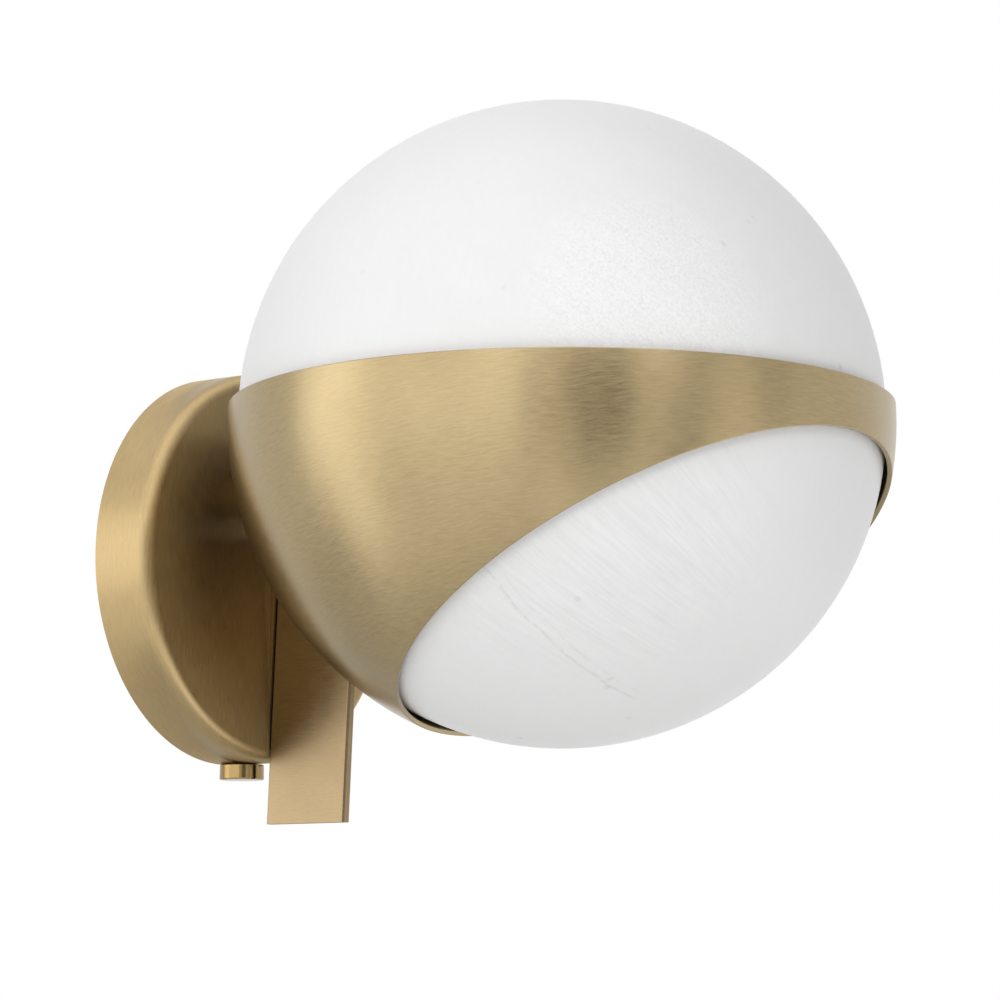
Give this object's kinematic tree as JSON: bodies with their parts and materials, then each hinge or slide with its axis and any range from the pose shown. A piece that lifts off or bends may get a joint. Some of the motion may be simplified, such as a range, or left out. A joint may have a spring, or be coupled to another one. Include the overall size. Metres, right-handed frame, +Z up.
{
  "type": "wall sconce",
  "caption": "Round-canopy wall sconce with a white globe resting in an open hemispherical brass cradle on a flat support bar.",
  "frame": {"origin": "centre of the canopy on the wall plane, on the back face of the wall bracket", "axes": "+X to the right seen from the front, +Y into the wall, +Z up; the object stands out of the wall along -Y"},
  "size_m": [0.206, 0.237, 0.2207],
  "materials": {
    "brushed_brass": "satin",
    "polished_brass": "polished",
    "zinc_steel": "satin",
    "white_glass": "satin",
    "ceramic": "matte",
    "frosted_cover": "satin",
    "circuit_board": "matte",
    "silicone": "matte",
    "nylon": "matte",
    "terminal_plastic": "satin",
    "brown_insulation": "satin",
    "blue_insulation": "satin",
    "green_yellow_insulation": "satin"
  },
  "bodies": {
    "fixture": {"wall_bracket": "zinc_steel", "bracket_bush": "polished_brass", "canopy": "brushed_brass", "canopy_hook": "zinc_steel", "support_bar": "brushed_brass", "bar_pins": "zinc_steel", "cradle": "brushed_brass", "spacer_sleeve": "brushed_brass", "nipple": "polished_brass", "nipple_nuts": "polished_brass", "lock_washers": "zinc_steel", "globe_bowl": "white_glass", "globe_pads": "silicone", "outer_gasket": "silicone", "inner_gasket": "silicone", "globe_washer": "zinc_steel", "lampholder_bracket": "zinc_steel", "lampholder_body": "ceramic", "lampholder_screws": "zinc_steel", "lampholder_contacts": "polished_brass", "terminal_block": "terminal_plastic", "terminal_screws": "zinc_steel", "block_screws": "zinc_steel", "live_wire": "brown_insulation", "neutral_wire": "blue_insulation", "earth_wire": "green_yellow_insulation", "earth_screw": "polished_brass", "earth_tag": "zinc_steel"},
    "dome": {"globe_dome": "white_glass"},
    "bulb": {"bulb_base": "ceramic", "bulb_pins": "zinc_steel", "bulb_cover": "frosted_cover", "bulb_board": "circuit_board"},
    "screw_washer": {"thumbscrew_washer": "nylon"},
    "screw": {"thumbscrew": "polished_brass"}
  },
  "joints": [
    {"name": "dome_lift", "type": "slide", "parent": "fixture", "child": "dome", "axis": [0, 0, 1], "range_m": [0, 0.1]},
    {"name": "bulb_pull", "type": "slide", "parent": "fixture", "child": "bulb", "axis": [0, -1, 0], "range_m": [0, 0.016]},
    {"name": "screw_travel", "type": "slide", "parent": "fixture", "child": "screw_washer", "axis": [0, 0, -1], "range_m": [0, 0.007]},
    {"name": "screw_turn", "type": "hinge", "parent": "screw_washer", "child": "screw", "pos_m": [0, -0.0082, -0.066], "axis": [0, 0, -1], "range_deg": [0, 3600]}
  ],
  "couplings": [
    {"joint": "screw_travel", "follows": "screw_turn", "m_per_rad": 0.0001114}
  ]
}
